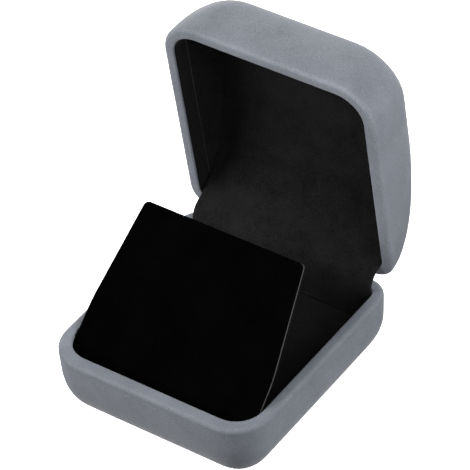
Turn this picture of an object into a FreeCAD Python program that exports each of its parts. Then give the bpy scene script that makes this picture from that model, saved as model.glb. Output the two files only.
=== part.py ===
import FreeCAD, Part
import math
import os
import Sketcher
from FreeCAD import Vector

# Velvet presentation box: a hinged clam box, open, with a raised display card.
# Millimetres, +Z up, X to the right seen from the front, -Y towards the front.
# The origin is the middle of the flat underside.

doc = FreeCAD.newDocument("PresentationBox")

# Driving dimensions

SIZES = {
    # Both halves in plan, at the rims
    "box_width": 70.0,
    "box_depth": 73.8,
    "front_corner": 11.7,
    "back_corner": 7.0,
    "least_corner": 3.0,
    "rim_gap": 0.3,
    "lid_back_setback": 0.8,
    # Layers of a wall, from the outside to the inside
    "velvet_nap": 0.6,
    "shell_wall": 2.2,
    "velvet_lip": 0.66,
    "liner_card": 0.5,
    "velvet_turn_in": 1.2,
    "band_overlap": 1.5,
    # Base, from the rim down
    "hinge_height": 22.8,
    "base_wall": 7.4,
    "wall_draft": 1.6,
    "base_side_curve": 11.5,
    "base_back_curve": 18.0,
    "base_front_corner_end": 3.0,
    "base_back_corner_end": 3.0,
    "base_liner_start": 12.0,
    "underside_pad": 0.5,
    "underside_margin": 2.5,
    "floor_card": 0.8,
    "floor_margin": 0.3,
    # Lid, from the rim up
    "lid_height": 20.3,
    "lid_wall": 0.8,
    "lid_side_curve": 4.1,
    "lid_back_curve": 45.3,
    "lid_front_corner_end": 14.5,
    "lid_back_corner_end": 7.8,
    "lid_liner_start": 5.5,
    "lid_open_angle": 83.5,
    "inner_curve": 3.0,
    # Spring hinge
    "hinge_outset": 0.1,
    "hinge_width": 36.0,
    "pin_radius": 0.8,
    "pin_play": 0.05,
    "knuckle_wall": 0.7,
    "knuckle_gap": 0.25,
    "lid_knuckle_width": 17.0,
    "leaf_thickness": 0.6,
    "leaf_seat": 0.25,
    "leaf_reach": 7.0,
    "lid_leaf_seat": 0.1,
    "lid_leaf_reach": 4.4,
    "lid_leaf_tilt": 24.0,
    "notch_clearance": 0.4,
    "liner_window": 9.0,
    "rivet_radius": 0.8,
    "rivet_head_radius": 1.5,
    "rivet_head": 0.35,
    "rivet_reach": 2.0,
    "rivet_spacing": 24.0,
    "lid_rivet_spacing": 11.0,
    "spring_width": 6.0,
    "spring_thickness": 0.3,
    "spring_bend": 4.75,
    "spring_clearance": 0.35,
    # Lining strip over the hinge
    "strip_width": 61.2,
    "strip_thickness": 0.5,
    "strip_bend": 5.8,
    "strip_reach": 11.0,
    "strip_seat": 0.35,
    "strip_clearance": 0.2,
    # Display card and its folded front flap
    "card_angle": 42.65,
    "card_length": 51.8,
    "card_drop": 7.4,
    "card_setback": 1.6,
    "card_clearance": 0.54,
    "card_straight": 19.0,
    "card_top_width": 53.3,
    "card_front_corner": 7.5,
    "card_side_corner": 60.0,
    "card_top_corner": 1.5,
    "card_board": 0.6,
    "card_velvet": 0.65,
    "card_paper": 0.15,
    "paper_margin": 0.8,
    "crease_radius": 0.35,
    "crease_play": 0.05,
    "crease_width": 44.0,
    "flap_board": 0.5,
    "flap_height": 3.6,
    # Folding prop behind the card
    "prop_distance": 18.0,
    "prop_width": 16.0,
    "prop_foot_width": 22.0,
    "prop_board": 1.0,
    "prop_angle": 110.0,
    "prop_gap": 0.3,
    "prop_corner": 1.0,
    "prop_crease_radius": 0.45,
    "prop_tape_length": 4.0,
    "prop_tape": 0.4,
    "foot_gap": 0.3,
}

sheet = doc.addObject("Spreadsheet::Sheet", "Sizes")
for row, (alias, number) in enumerate(SIZES.items(), start=1):
    sheet.set("A%d" % row, alias)
    sheet.set("B%d" % row, repr(number))
    sheet.setAlias("B%d" % row, alias)
doc.recompute()


def size(alias):
    """One driving dimension, read back from the sheet."""
    return float(sheet.get(alias))


def cell(alias):
    """The same dimension, as an expression refers to it."""
    return "<<Sizes>>." + alias


def number(expression):
    """The value that an expression has now, to draw a sketch near its solution."""
    value = sheet.evalExpression(expression)
    return float(getattr(value, "Value", value))


# Places that several pieces share, as expressions

RIM_WIDTH = "(%s + %s + %s)" % (cell("velvet_nap"), cell("shell_wall"), cell("velvet_lip"))
INNER_WALL = "(%s + %s)" % (cell("velvet_nap"), cell("shell_wall"))
LINER_INSIDE = "(%s + %s)" % (RIM_WIDTH, cell("liner_card"))
HINGE_Y = "(%s / 2 + %s)" % (cell("box_depth"), cell("hinge_outset"))
HINGE_Z = cell("hinge_height")
BASE_RIM_Z = "(%s - %s / 2)" % (cell("hinge_height"), cell("rim_gap"))
KNUCKLE_RADIUS = "(%s + %s + %s)" % (cell("pin_radius"), cell("pin_play"), cell("knuckle_wall"))
CARD_Y = "(%s - %s / 2 + %s)" % (RIM_WIDTH, cell("box_depth"), cell("card_setback"))
CARD_Z = "(%s - %s)" % (BASE_RIM_Z, cell("card_drop"))

# The two halves: each is a rounded rectangle in plan that shrinks along a wall and a quarter ellipse.
# Depth is counted from the rim, down in the base and up in the lid. The lid is drawn closed,
# in a frame whose origin is on the hinge axis.

HALVES = {
    "base": {
        "up": -1,
        "rim": BASE_RIM_Z,
        "front": "(-%s / 2)" % cell("box_depth"),
        "back": "(%s / 2)" % cell("box_depth"),
        "height": "(%s - %s)" % (BASE_RIM_Z, cell("underside_pad")),
        "wall": cell("base_wall"),
        "wall_steps": (0.33, 0.67),
        "draft": "(%s * tan(%s * 1 deg))" % (cell("base_wall"), cell("wall_draft")),
        "side_curve": cell("base_side_curve"),
        "back_curve": cell("base_back_curve"),
        "corner_ends": (cell("base_front_corner_end"), cell("base_back_corner_end")),
        "liner_start": cell("base_liner_start"),
    },
    "lid": {
        "up": 1,
        "rim": "(%s / 2)" % cell("rim_gap"),
        "front": "(-%s - %s)" % (cell("box_depth"), cell("hinge_outset")),
        "back": "(-%s - %s)" % (cell("hinge_outset"), cell("lid_back_setback")),
        "height": "(%s - %s / 2)" % (cell("lid_height"), cell("rim_gap")),
        "wall": cell("lid_wall"),
        "wall_steps": (),
        "draft": "0",
        "side_curve": cell("lid_side_curve"),
        "back_curve": cell("lid_back_curve"),
        "corner_ends": (cell("lid_front_corner_end"), cell("lid_back_corner_end")),
        "liner_start": cell("lid_liner_start"),
    },
}
CURVE_STEPS = (0, 18, 36, 54, 72, 90)
ABOVE_RIM = "-1"
FAR = "100"
SAME_PLACE = 0.01


def plan_sketch(name, height, half_width, front, back, front_radius, back_radius):
    """A level sketch of a rounded rectangle, symmetric about X = 0, all sizes as expressions."""
    sketch = doc.addObject("Sketcher::SketchObject", name)
    sketch.setExpression("Placement.Base.z", height)
    x, y0, y1 = number(half_width), number(front), number(back)
    rf, rb = number(front_radius), number(back_radius)
    corners = [(x, y0, rf, -1, 1), (x, y1, rb, -1, -1), (-x, y1, rb, 1, -1), (-x, y0, rf, 1, 1)]
    ends = [((-x + rf, y0), (x - rf, y0)), ((x, y0 + rf), (x, y1 - rb)),
            ((x - rb, y1), (-x + rb, y1)), ((-x, y1 - rb), (-x, y0 + rf))]
    for start, end in ends:
        sketch.addGeometry(Part.LineSegment(Vector(*start, 0), Vector(*end, 0)))
    for index, (cx, cy, radius, dx, dy) in enumerate(corners):
        circle = Part.Circle(Vector(cx + dx * radius, cy + dy * radius, 0), Vector(0, 0, 1), radius)
        turn = math.radians(270 + 90 * index)
        sketch.addGeometry(Part.ArcOfCircle(circle, turn, turn + math.pi / 2))
    front_line, right_line, back_line, left_line = range(4)
    front_right, back_right, back_left, front_left = range(4, 8)
    joints = []
    for line, arc, next_line in ((front_line, front_right, right_line), (right_line, back_right, back_line),
                                 (back_line, back_left, left_line), (left_line, front_left, front_line)):
        joints.append(Sketcher.Constraint("Tangent", line, 2, arc, 1))
        joints.append(Sketcher.Constraint("Tangent", arc, 2, next_line, 1))
    joints.append(Sketcher.Constraint("Horizontal", front_line))
    joints.append(Sketcher.Constraint("Vertical", right_line))
    joints.append(Sketcher.Constraint("Horizontal", back_line))
    joints.append(Sketcher.Constraint("Vertical", left_line))
    joints.append(Sketcher.Constraint("Equal", front_right, front_left))
    joints.append(Sketcher.Constraint("Equal", back_right, back_left))
    sketch.addConstraint(joints)
    driven = [
        ("half_width", half_width, Sketcher.Constraint("DistanceX", -1, 1, right_line, 1, x)),
        ("left_edge", "-" + half_width, Sketcher.Constraint("DistanceX", -1, 1, left_line, 1, -x)),
        ("front_edge", front, Sketcher.Constraint("DistanceY", -1, 1, front_line, 1, y0)),
        ("back_edge", back, Sketcher.Constraint("DistanceY", -1, 1, back_line, 1, y1)),
        ("front_radius", front_radius, Sketcher.Constraint("Radius", front_right, rf)),
        ("back_radius", back_radius, Sketcher.Constraint("Radius", back_right, rb)),
    ]
    for title, expression, constraint in driven:
        index = sketch.addConstraint(constraint)
        sketch.renameConstraint(index, title)
        sketch.setExpression("Constraints." + title, expression)
    sketch.Visibility = False
    return sketch


def level_sketch(name, half, offset, depth, wall_share, cosine):
    """The plan of one half at a depth, moved in from the outer surface by an offset."""
    side_curve = "max(%s - %s; %s)" % (half["side_curve"], offset, cell("inner_curve"))
    back_curve = "max(%s - %s; %s)" % (half["back_curve"], offset, cell("inner_curve"))
    drafted = "%s * %s" % (half["draft"], wall_share)
    shrink = "(%s + %s * (1 - %s))" % (drafted, side_curve, cosine)
    back_shrink = "(%s + %s * (1 - %s))" % (drafted, back_curve, cosine)
    half_width = "(%s / 2 - %s - %s)" % (cell("box_width"), offset, shrink)
    front = "(%s + %s + %s)" % (half["front"], offset, shrink)
    back = "(%s - %s - %s)" % (half["back"], offset, back_shrink)
    radii = []
    for start, end in zip((cell("front_corner"), cell("back_corner")), half["corner_ends"]):
        outer_radius = "(%s + (%s - %s) * %s * sqrt(%s))" % (end, start, end, cosine, cosine)
        radii.append("max(%s - %s; %s)" % (outer_radius, offset, cell("least_corner")))
    height = "%s + %d * (%s)" % (half["rim"], half["up"], depth)
    return plan_sketch(name, height, half_width, front, back, *radii)


def shell_form(half_name, title, offset, top_depth):
    """A solid bowl: its rim level, its wall, then steps round the quarter ellipse."""
    half = HALVES[half_name]
    name = "%s_%s" % (half_name, title)
    levels = [(top_depth, "0", "1")]
    for share in half["wall_steps"]:
        levels.append(("%s + (%s - %s) * %g" % (top_depth, half["wall"], top_depth, share), str(share), "1"))
    for step in CURVE_STEPS:
        curve = "(%s - %s - %s) * sin(%d deg)" % (half["height"], half["wall"], offset, step)
        levels.append(("%s + %s" % (half["wall"], curve), "1", "cos(%d deg)" % step))
    loft = doc.addObject("Part::Loft", name)
    loft.Sections = [level_sketch("%s_level_%d" % (name, index), half, offset, *level)
                     for index, level in enumerate(levels, start=1)]
    loft.Solid = True
    loft.Ruled = False
    loft.MaxDegree = 3
    return loft


def box(name, low, high):
    """A plain box between two corners, each coordinate an expression."""
    block = doc.addObject("Part::Box", name)
    for axis, side, lower, upper in zip("xyz", ("Length", "Width", "Height"), low, high):
        block.setExpression("Placement.Base." + axis, lower)
        block.setExpression(side, "(%s) - (%s)" % (upper, lower))
    return block


def rod(name, radius, low, high, y="0", z="0"):
    """A round bar along X."""
    bar = doc.addObject("Part::Cylinder", name)
    bar.setExpression("Radius", radius)
    bar.setExpression("Height", "(%s) - (%s)" % (high, low))
    bar.Placement = FreeCAD.Placement(Vector(0, 0, 0), FreeCAD.Rotation(Vector(0, 1, 0), 90))
    bar.setExpression("Placement.Base.x", low)
    bar.setExpression("Placement.Base.y", y)
    bar.setExpression("Placement.Base.z", z)
    return bar


def cut(name, base, *tools):
    """The base less each tool in turn."""
    result = base
    for index, tool in enumerate(tools, start=1):
        step = doc.addObject("Part::Cut", name if index == len(tools) else "%s_cut_%d" % (name, index))
        step.Base = result
        step.Tool = tool
        result = step
    return result


def common(name, base, tool):
    """What two solids share."""
    result = doc.addObject("Part::Common", name)
    result.Base = base
    result.Tool = tool
    return result


def fuse(name, *pieces):
    """Several solids made one."""
    result = doc.addObject("Part::MultiFuse", name)
    result.Shapes = list(pieces)
    return result


def group(name, *pieces):
    """Several separate solids in one node."""
    result = doc.addObject("Part::Compound", name)
    result.Links = list(pieces)
    return result


def turn_about_x(thing, angle, y, z):
    """Put a piece drawn at the origin at (y, z), turned about X by an angle in degrees."""
    way = 1 if number(angle) >= 0 else -1
    turned = FreeCAD.Rotation(Vector(way, 0, 0), abs(number(angle)))
    thing.Placement = FreeCAD.Placement(Vector(0, 0, 0), turned)
    thing.setExpression("Placement.Base.y", y)
    thing.setExpression("Placement.Base.z", z)
    thing.setExpression("Placement.Rotation.Angle", "%d * (%s)" % (way, angle))
    return thing


def to_lid(thing):
    """Open a piece of the lid about the hinge."""
    return turn_about_x(thing, "-" + cell("lid_open_angle"), HINGE_Y, HINGE_Z)


nodes = {}


def node(name, thing):
    """Name a finished piece."""
    thing.Label = name
    nodes[name] = thing
    return thing


# Hinge leaves, their rivets and the notches that clear the knuckles

HALF_HINGE = "(%s / 2)" % cell("hinge_width")
HALF_LID_KNUCKLE = "(%s / 2)" % cell("lid_knuckle_width")
BORE = "(%s + %s)" % (cell("pin_radius"), cell("pin_play"))
NOTCH_X = "(%s + %s)" % (HALF_HINGE, cell("notch_clearance"))
NOTCH_Z = "(%s + %s)" % (KNUCKLE_RADIUS, cell("notch_clearance"))


def depth_slab(half_name, name, start, end):
    """The space between two depths of one half."""
    half = HALVES[half_name]
    near = "%s + %d * (%s)" % (half["rim"], half["up"], start)
    far = "%s + %d * (%s)" % (half["rim"], half["up"], end)
    low, high = (far, near) if half["up"] < 0 else (near, far)
    return box(name, ("-" + FAR, "-" + FAR, low), (FAR, FAR, high))


def rivet(name, x, y, z, lean):
    """A rivet whose head sits at (y, z) inside a wall and whose shank leans up from level."""
    pieces = []
    for title, radius, length in (("shank", cell("rivet_radius"), cell("rivet_reach")),
                                  ("head", cell("rivet_head_radius"), cell("rivet_head"))):
        bar = doc.addObject("Part::Cylinder", "%s_%s" % (name, title))
        bar.setExpression("Radius", radius)
        bar.setExpression("Height", length)
        turn = number("90 - " + lean)
        bar.Placement = FreeCAD.Placement(Vector(0, 0, 0), FreeCAD.Rotation(Vector(-1, 0, 0), turn))
        back = "0" if title == "shank" else cell("rivet_head")
        bar.setExpression("Placement.Base.x", x)
        bar.setExpression("Placement.Base.y", "%s - %s * cos(%s * 1 deg)" % (y, back, lean))
        bar.setExpression("Placement.Base.z", "%s - %s * sin(%s * 1 deg)" % (z, back, lean))
        bar.setExpression("Placement.Rotation.Angle", "90 - " + lean)
        pieces.append(bar)
    return fuse(name, *pieces)


def hinge_leaf(half_name, spans, origin_y, origin_z, seat, reach, tilt):
    """A bent steel leaf: knuckles round the pin, a tab through the rim notch and a plate inside."""
    up = HALVES[half_name]["up"]
    name = half_name + "_leaf"
    low_x, high_x = spans[0][0], spans[-1][1]
    pieces = []
    tab_out = "%s + %d * %s" % (origin_z, up, KNUCKLE_RADIUS)
    tab_in = "%s + %d * (%s - %s)" % (origin_z, up, KNUCKLE_RADIUS, cell("leaf_thickness"))
    low, high = (tab_out, tab_in) if up < 0 else (tab_in, tab_out)
    inner_y = "%s - %s - %s" % (origin_y, seat, cell("leaf_thickness"))
    pieces.append(box(name + "_tab", (low_x, inner_y, low), (high_x, origin_y, high)))
    plate = doc.addObject("Part::Box", name + "_plate")
    plate.setExpression("Length", "(%s) - (%s)" % (high_x, low_x))
    plate.setExpression("Width", cell("leaf_thickness"))
    plate.setExpression("Height", reach)
    plate.Placement = FreeCAD.Placement(Vector(0, 0, 0), FreeCAD.Rotation(Vector(1, 0, 0), number(tilt)))
    plate.setExpression("Placement.Base.x", low_x)
    plate.setExpression("Placement.Base.y", inner_y)
    plate.setExpression("Placement.Base.z", tab_in if up > 0 else "%s - %s" % (tab_in, reach))
    if up > 0:
        plate.setExpression("Placement.Rotation.Angle", tilt)
    pieces.append(plate)
    for index, (start, end) in enumerate(spans, start=1):
        pieces.append(rod("%s_knuckle_%d" % (name, index), KNUCKLE_RADIUS, start, end, origin_y, origin_z))
    return fuse(name + "_blank", *pieces)


HINGE_SEAT = "(%s + %s + %s)" % (cell("hinge_outset"), INNER_WALL, cell("leaf_seat"))
LID_SEAT = "(%s + %s + %s + %s)" % (cell("hinge_outset"), cell("lid_back_setback"), INNER_WALL,
                                    cell("lid_leaf_seat"))
LID_TILT = cell("lid_leaf_tilt")
KNUCKLE_EDGE = "(%s + %s)" % (HALF_LID_KNUCKLE, cell("knuckle_gap"))
HINGE_CLEAR = "(%s + %s)" % (KNUCKLE_RADIUS, cell("knuckle_gap"))

base_leaf_blank = hinge_leaf("base", [("-" + HALF_HINGE, "-" + KNUCKLE_EDGE), (KNUCKLE_EDGE, HALF_HINGE)],
                             HINGE_Y, HINGE_Z, HINGE_SEAT, cell("leaf_reach"), "0")
lid_leaf_blank = hinge_leaf("lid", [("-" + HALF_LID_KNUCKLE, HALF_LID_KNUCKLE)],
                            "0", "0", LID_SEAT, cell("lid_leaf_reach"), LID_TILT)
base_bore = rod("base_bore", BORE, "-" + FAR, FAR, HINGE_Y, HINGE_Z)
lid_bore = rod("lid_bore", BORE, "-" + FAR, FAR)
knuckle_low = ("-" + KNUCKLE_EDGE, "%s - %s" % (HINGE_Y, HINGE_CLEAR), "%s - %s" % (HINGE_Z, HINGE_CLEAR))
knuckle_high = (KNUCKLE_EDGE, "%s + %s" % (HINGE_Y, HINGE_CLEAR), "%s + %s" % (HINGE_Z, HINGE_CLEAR))
knuckle_space = box("lid_knuckle_space", knuckle_low, knuckle_high)

base_rivet_y = "(%s - %s - %s)" % (HINGE_Y, HINGE_SEAT, cell("leaf_thickness"))
base_rivet_z = "(%s - %s - %s / 2)" % (HINGE_Z, KNUCKLE_RADIUS, cell("leaf_reach"))
plate_middle = "(%s / 2)" % cell("lid_leaf_reach")
plate_foot_y = "(-%s - %s)" % (LID_SEAT, cell("leaf_thickness"))
plate_foot_z = "(%s - %s)" % (KNUCKLE_RADIUS, cell("leaf_thickness"))
lid_rivet_y = "(%s - %s * sin(%s * 1 deg))" % (plate_foot_y, plate_middle, LID_TILT)
lid_rivet_z = "(%s + %s * cos(%s * 1 deg))" % (plate_foot_z, plate_middle, LID_TILT)
base_rivets = []
lid_rivets = []
for side, way in (("left", "-"), ("right", "")):
    x = "%s%s / 2" % (way, cell("rivet_spacing"))
    base_rivets.append(rivet("base_rivet_" + side, x, base_rivet_y, base_rivet_z, "0"))
    x = "%s%s / 2" % (way, cell("lid_rivet_spacing"))
    lid_rivets.append(rivet("lid_rivet_" + side, x, lid_rivet_y, lid_rivet_z, LID_TILT))

node("base_hinge_leaf", cut("base_leaf_cut", base_leaf_blank, base_bore, knuckle_space, *base_rivets))
node("lid_hinge_leaf", to_lid(cut("lid_leaf_cut", lid_leaf_blank, lid_bore, *lid_rivets)))
node("hinge_pin", rod("pin_bar", cell("pin_radius"), "-" + HALF_HINGE, HALF_HINGE, HINGE_Y, HINGE_Z))
node("base_hinge_rivets", group("base_rivet_pair", *base_rivets))
node("lid_hinge_rivets", to_lid(group("lid_rivet_pair", *lid_rivets)))

# Shells, velvet, black band inside the rim, and lining tray of both halves

RIM_ROUNDING = "(2 * %s)" % cell("velvet_nap")
HINGE_FRAMES = {"base": (HINGE_Y, HINGE_Z), "lid": ("0", "0")}
RIVETS = {"base": base_rivets, "lid": lid_rivets}


def round_rim(name, cover, form):
    """Round the outer edge of a cover where it follows the first level of its form."""
    doc.recompute()
    outline = form.Sections[0].Shape
    radius = number(RIM_ROUNDING)
    chosen = []
    for index, edge in enumerate(cover.Shape.Edges, start=1):
        middle = edge.valueAt((edge.FirstParameter + edge.LastParameter) / 2)
        if outline.distToShape(Part.Vertex(middle))[0] < SAME_PLACE:
            chosen.append((index, radius, radius))
    rounded = doc.addObject("Part::Fillet", name)
    rounded.Base = cover
    rounded.Edges = chosen
    return rounded


def lined_half(half_name):
    """Make the four layers of one half, the lid still closed on the hinge axis, and return its form."""
    half = HALVES[half_name]
    hinge_y, hinge_z = HINGE_FRAMES[half_name]
    outer = shell_form(half_name, "outer_form", "0", "0")
    core = shell_form(half_name, "core_form", cell("velvet_nap"), cell("velvet_nap"))
    hollow = shell_form(half_name, "hollow_form", INNER_WALL, ABOVE_RIM)
    opening = shell_form(half_name, "opening_form", RIM_WIDTH, ABOVE_RIM)
    inside = shell_form(half_name, "inside_form", LINER_INSIDE, ABOVE_RIM)
    inner_y = "%s - %s - 2 * %s" % (hinge_y, HINGE_SEAT, RIM_WIDTH)
    outer_y = "%s + %s + %s" % (hinge_y, KNUCKLE_RADIUS, cell("notch_clearance"))
    notch = box(half_name + "_hinge_notch",
                ("-" + NOTCH_X, inner_y, "%s - %s" % (hinge_z, NOTCH_Z)),
                (NOTCH_X, outer_y, "%s + %s" % (hinge_z, NOTCH_Z)))
    raw_shell = cut(half_name + "_raw_shell", core, hollow)
    shell = cut(half_name + "_shell_cut", raw_shell, notch, *RIVETS[half_name])
    deep = depth_slab(half_name, half_name + "_below_lip", cell("velvet_turn_in"), FAR)
    lower_hollow = common(half_name + "_lower_hollow", hollow, deep)
    sharp_velvet = cut(half_name + "_velvet_cut", outer, raw_shell, opening, lower_hollow, notch)
    velvet = round_rim(half_name + "_velvet_rim", sharp_velvet, outer)
    band_end = "%s + %s" % (half["liner_start"], cell("band_overlap"))
    band_slab = depth_slab(half_name, half_name + "_band_levels", cell("velvet_turn_in"), band_end)
    band_blank = common(half_name + "_band_blank", hollow, band_slab)
    window = box(half_name + "_liner_window",
                 ("-" + NOTCH_X, inner_y, "%s - %s" % (hinge_z, cell("liner_window"))),
                 (NOTCH_X, outer_y, "%s + %s" % (hinge_z, cell("liner_window"))))
    band = cut(half_name + "_band_cut", band_blank, opening, window)
    liner_slab = depth_slab(half_name, half_name + "_liner_levels", half["liner_start"], FAR)
    liner_blank = common(half_name + "_liner_blank", opening, liner_slab)
    liner = cut(half_name + "_liner_cut", liner_blank, inside, window)
    pieces = {"shell": shell, "velvet": velvet, "rim_band": band, "liner": liner}
    for title, piece in pieces.items():
        if half_name == "lid":
            to_lid(piece)
        node("%s_%s" % (half_name, title), piece)
    return outer


base_form = lined_half("base")
lid_form = lined_half("lid")

# Flat pads under and in the base

FLAT_HALF_WIDTH = "(%s / 2 - %s - %s)" % (cell("box_width"), HALVES["base"]["draft"], cell("base_side_curve"))
FLAT_FRONT = "(%s + %s + %s)" % (HALVES["base"]["front"], HALVES["base"]["draft"], cell("base_side_curve"))
FLAT_BACK = "(%s - %s - %s)" % (HALVES["base"]["back"], HALVES["base"]["draft"], cell("base_back_curve"))
FLAT_CORNER = "(%s / 2)" % cell("front_corner")


def flat_pad(name, margin, height, thickness):
    """A level pad as large as the flat bottom of the bowl, less a margin."""
    outline = plan_sketch(name + "_outline", height, "(%s - %s)" % (FLAT_HALF_WIDTH, margin),
                          "(%s + %s)" % (FLAT_FRONT, margin), "(%s - %s)" % (FLAT_BACK, margin),
                          FLAT_CORNER, FLAT_CORNER)
    pad = doc.addObject("Part::Extrusion", name + "_pad")
    pad.Base = outline
    pad.DirMode = "Custom"
    pad.Dir = Vector(0, 0, 1)
    pad.Solid = True
    pad.setExpression("LengthFwd", thickness)
    return node(name, pad)


FLOOR_Z = "(%s + %s)" % (cell("underside_pad"), LINER_INSIDE)
flat_pad("base_underside_pad", cell("underside_margin"), "0", cell("underside_pad"))
flat_pad("base_floor_card", cell("floor_margin"), FLOOR_Z, cell("floor_card"))

# Display card: drawn flat from the fold line, towards +Y, and then raised about the fold


def same_place(first, second):
    """Whether two points stand over each other, seen from above."""
    return abs(first.x - second.x) + abs(first.y - second.y) < SAME_PLACE


def flat_board(name, outline, low, thickness, rounded):
    """A flat board with straight sides; rounded gives the radius at some of its corners."""
    body = doc.addObject("PartDesign::Body", name + "_body")
    plane = [item for item in body.Origin.OriginFeatures if item.Role == "XY_Plane"][0]
    sketch = body.newObject("Sketcher::SketchObject", name + "_outline")
    sketch.AttachmentSupport = [(plane, "")]
    sketch.MapMode = "FlatFace"
    sketch.setExpression("AttachmentOffset.Base.z", low)
    points = [Vector(number(x), number(y), 0) for x, y in outline]
    count = len(points)
    for index in range(count):
        sketch.addGeometry(Part.LineSegment(points[index], points[(index + 1) % count]))
    for index in range(count):
        sketch.addConstraint(Sketcher.Constraint("Coincident", index, 2, (index + 1) % count, 1))
    for index, (x, y) in enumerate(outline):
        for kind, expression, value in (("DistanceX", x, points[index].x), ("DistanceY", y, points[index].y)):
            title = "corner_%d_%s" % (index, kind[-1].lower())
            place = sketch.addConstraint(Sketcher.Constraint(kind, -1, 1, index, 1, value))
            sketch.renameConstraint(place, title)
            sketch.setExpression("Constraints." + title, expression)
    pad = body.newObject("PartDesign::Pad", name + "_pad")
    pad.Profile = sketch
    pad.setExpression("Length", thickness)
    doc.recompute()
    for index, (corners, radius) in enumerate(rounded, start=1):
        base = body.Tip
        wanted = [points[corner] for corner in corners]
        edges = []
        for place, edge in enumerate(base.Shape.Edges, start=1):
            first, last = edge.Vertexes[0].Point, edge.Vertexes[-1].Point
            upright = same_place(first, last) and abs(first.z - last.z) > SAME_PLACE
            if upright and any(same_place(first, point) for point in wanted):
                edges.append("Edge%d" % place)
        fillet = body.newObject("PartDesign::Fillet", "%s_rounding_%d" % (name, index))
        fillet.Base = (base, edges)
        fillet.setExpression("Radius", radius)
        doc.recompute()
    return body


def card_outline(margin):
    """The outline of the card: straight at the front, drawn in towards its top edge."""
    half = "(%s / 2 - %s - %s - %s)" % (cell("box_width"), RIM_WIDTH, cell("card_clearance"), margin)
    top = "(%s / 2 - %s)" % (cell("card_top_width"), margin)
    start = "(%s + %s + %s)" % (cell("crease_radius"), cell("crease_play"), margin)
    middle = cell("card_straight")
    end = "(%s - %s)" % (cell("card_length"), margin)
    return [("-" + half, start), (half, start), (half, middle),
            (top, end), ("-" + top, end), ("-" + half, middle)]


def raise_card(thing):
    """Raise a piece drawn flat about the fold line of the card."""
    return turn_about_x(thing, cell("card_angle"), CARD_Y, CARD_Z)


CARD_CORNERS = [((0, 1), cell("card_front_corner")), ((2, 5), cell("card_side_corner")),
                ((3, 4), cell("card_top_corner"))]
HALF_BOARD = "(%s / 2)" % cell("card_board")
CARD_LAYERS = [
    ("card_board", "0", "-" + HALF_BOARD, cell("card_board")),
    ("card_velvet", "0", HALF_BOARD, cell("card_velvet")),
    ("card_back_paper", cell("paper_margin"), "(-%s - %s)" % (HALF_BOARD, cell("card_paper")),
     cell("card_paper")),
]
for name, margin, low, thickness in CARD_LAYERS:
    node(name, raise_card(flat_board(name, card_outline(margin), low, thickness, CARD_CORNERS)))

HALF_CREASE = "(%s / 2)" % cell("crease_width")
node("card_crease", rod("crease_roll", cell("crease_radius"), "-" + HALF_CREASE, HALF_CREASE,
                        CARD_Y, CARD_Z))
flap_back = "(%s - %s)" % (CARD_Y, cell("crease_radius"))
flap_top = "(%s + %s)" % (CARD_Z, cell("crease_radius"))
node("card_front_flap", box("front_flap",
                            ("-" + HALF_CREASE, "%s - %s" % (flap_back, cell("flap_board")),
                             "%s - %s" % (flap_top, cell("flap_height"))),
                            (HALF_CREASE, flap_back, flap_top)))

# Folding prop: it hangs from a taped crease on the back of the card and stands on the floor

CARD_UNDER = "(%s + %s)" % (HALF_BOARD, cell("card_paper"))
PROP_UNDER = "(%s + %s + %s / 2)" % (CARD_UNDER, cell("prop_gap"), cell("prop_board"))
CARD_SIN = "sin(%s * 1 deg)" % cell("card_angle")
CARD_COS = "cos(%s * 1 deg)" % cell("card_angle")
PROP_Y = "(%s + %s * %s + %s * %s)" % (CARD_Y, cell("prop_distance"), CARD_COS, PROP_UNDER, CARD_SIN)
PROP_Z = "(%s + %s * %s - %s * %s)" % (CARD_Z, cell("prop_distance"), CARD_SIN, PROP_UNDER, CARD_COS)
PROP_SLOPE = "(%s - %s)" % (cell("prop_angle"), cell("card_angle"))
PROP_DROP = "(%s - %s - %s - %s)" % (PROP_Z, FLOOR_Z, cell("floor_card"), cell("foot_gap"))
PROP_END = "((%s - %s / 2 * cos(%s * 1 deg)) / sin(%s * 1 deg))" % (PROP_DROP, cell("prop_board"),
                                                                   PROP_SLOPE, PROP_SLOPE)
prop_start = "(%s + %s)" % (cell("prop_crease_radius"), cell("crease_play"))
half_prop = "(%s / 2)" % cell("prop_width")
half_foot = "(%s / 2)" % cell("prop_foot_width")
prop_outline = [("-" + half_prop, prop_start), (half_prop, prop_start), (half_foot, PROP_END),
                ("-" + half_foot, PROP_END)]
prop = flat_board("prop_leg", prop_outline, "(-%s / 2)" % cell("prop_board"), cell("prop_board"),
                  [((2, 3), cell("prop_corner"))])
node("prop_leg", turn_about_x(prop, "-" + PROP_SLOPE, PROP_Y, PROP_Z))

tape_back = "(%s - %s)" % (cell("prop_distance"), cell("prop_tape_length"))
tape = box("prop_tape_strip", ("-" + half_prop, tape_back, "-%s - %s" % (CARD_UNDER, cell("prop_tape"))),
           (half_prop, cell("prop_distance"), "-" + CARD_UNDER))
roll = rod("prop_tape_roll", cell("prop_crease_radius"), "-" + half_prop, half_prop,
           cell("prop_distance"), "-" + PROP_UNDER)
node("prop_crease", raise_card(fuse("prop_crease_tape", tape, roll)))

# Bent sheets that cross the hinge: the flat spring and the lining strip


def lid_point(y, z):
    """A point drawn on the closed lid, in its open place."""
    turn = math.radians(-size("lid_open_angle"))
    cosine, sine = math.cos(turn), math.sin(turn)
    return Vector(0, number(HINGE_Y) + y * cosine - z * sine, number(HINGE_Z) + y * sine + z * cosine)


def base_point(y, z):
    """A point drawn from the hinge axis, fixed to the base."""
    return Vector(0, number(HINGE_Y) + y, number(HINGE_Z) + z)


def bend_points(radius, count):
    """Points round the hinge axis, from the upright wall of the base to the rim plane of the lid."""
    opened = math.radians(size("lid_open_angle"))
    turns = [math.pi - opened * (index + 1) / (count + 1) for index in range(count)]
    return [base_point(radius * math.cos(turn), radius * math.sin(turn)) for turn in turns]


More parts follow.
